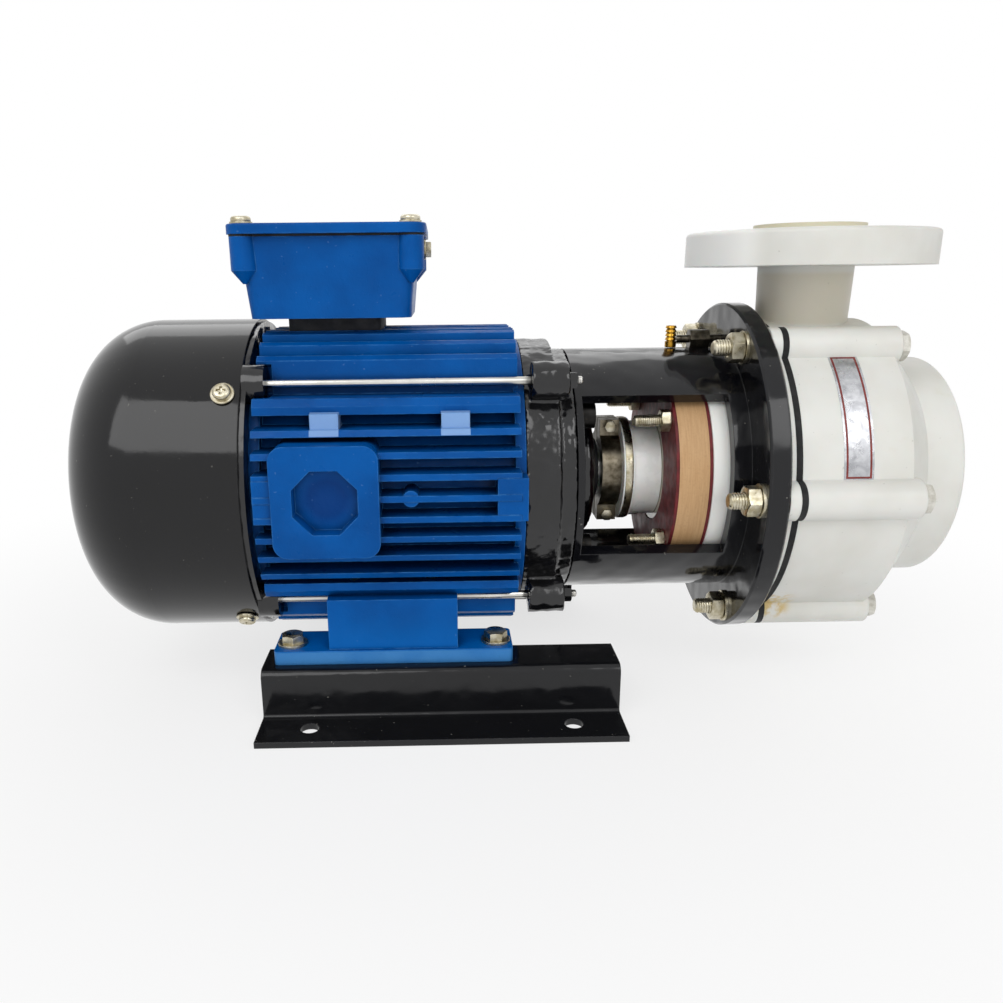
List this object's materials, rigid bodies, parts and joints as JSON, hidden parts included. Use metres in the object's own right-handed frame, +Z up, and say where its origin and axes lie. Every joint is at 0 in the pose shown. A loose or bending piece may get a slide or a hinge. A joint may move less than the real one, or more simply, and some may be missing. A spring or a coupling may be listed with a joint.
{
  "type": "acid transfer pump",
  "caption": "Close-coupled acid transfer pump: finned motor, lantern with seal windows and a plastic volute casing with flanged discharge and axial suction.",
  "frame": {"origin": "centre of the four base holes, on the floor plane under the rails", "axes": "+X along the shaft from the fan cowl to the suction, +Y to the far side, +Z up"},
  "size_m": [0.4318, 0.2068, 0.235],
  "materials": {
    "blue_paint": "gloss enamel",
    "black_paint": "gloss enamel",
    "zinc_steel": "zinc plated",
    "bright_steel": "turned and bright",
    "core_steel": "laminated",
    "winding": "varnished winding wire",
    "white_plastic": "machined polymer, off-white",
    "fan_plastic": "moulded, dark",
    "board_plastic": "moulded, brown",
    "neck_rubber": "matt",
    "joint_rubber": "matt",
    "maroon_joint": "matt sheet",
    "tan_ring": "turned laminate",
    "seal_white": "smooth, white",
    "seal_face": "lapped ceramic",
    "brass": "turned"
  },
  "bodies": {
    "pump_body": {"near_rail": "black_paint", "far_rail": "black_paint", "near_foot": "blue_paint", "far_foot": "blue_paint", "foot_screws": "zinc_steel", "foot_washers": "zinc_steel", "foot_bolts": "zinc_steel", "foot_nuts": "zinc_steel", "motor_frame": "blue_paint", "stator_core": "core_steel", "stator_winding": "winding", "drive_endshield": "black_paint", "rear_endshield": "black_paint", "tie_rods": "zinc_steel", "tie_rod_nuts": "zinc_steel", "fan_cowl": "black_paint", "cowl_screws": "zinc_steel", "front_bearing_outer": "bright_steel", "rear_bearing_outer": "bright_steel", "terminal_box_neck": "neck_rubber", "terminal_box": "blue_paint", "lid_gasket": "joint_rubber", "terminal_box_lid": "blue_paint", "lid_screws": "bright_steel", "terminal_board": "board_plastic", "terminal_studs": "brass", "lantern": "black_paint", "lantern_screws": "zinc_steel", "back_plate": "white_plastic", "casing_gasket": "joint_rubber", "volute_casing": "white_plastic", "casing_bolts": "zinc_steel", "casing_washers": "zinc_steel", "casing_nuts": "zinc_steel", "gland_ring": "tan_ring", "gland_gaskets": "maroon_joint", "seal_seat": "seal_face", "gland_studs": "zinc_steel", "gland_nuts": "zinc_steel", "flush_stem": "zinc_steel", "flush_nipple": "brass"},
    "rotor": {"motor_shaft": "bright_steel", "rotor_core": "core_steel", "cooling_fan": "fan_plastic", "fan_clip": "bright_steel", "shaft_key": "bright_steel", "front_bearing_inner": "bright_steel", "rear_bearing_inner": "bright_steel", "impeller": "white_plastic", "impeller_nut": "white_plastic", "shaft_sleeve": "seal_white", "seal_bellows": "seal_white", "seal_clamp_ring": "bright_steel", "clamp_screws": "bright_steel", "slinger": "joint_rubber"},
    "front_cage": {"front_bearing_balls": "bright_steel"},
    "rear_cage": {"rear_bearing_balls": "bright_steel"}
  },
  "joints": [
    {"name": "shaft_spin", "type": "hinge", "parent": "pump_body", "child": "rotor", "pos_m": [0, 0, 0.107], "axis": [1, 0, 0], "continuous": true},
    {"name": "front_cage_spin", "type": "hinge", "parent": "pump_body", "child": "front_cage", "pos_m": [0, 0, 0.107], "axis": [1, 0, 0], "continuous": true},
    {"name": "rear_cage_spin", "type": "hinge", "parent": "pump_body", "child": "rear_cage", "pos_m": [0, 0, 0.107], "axis": [1, 0, 0], "continuous": true}
  ],
  "couplings": [
    {"joint": "front_cage_spin", "follows": "shaft_spin", "ratio": 0.3815},
    {"joint": "rear_cage_spin", "follows": "shaft_spin", "ratio": 0.3815}
  ]
}
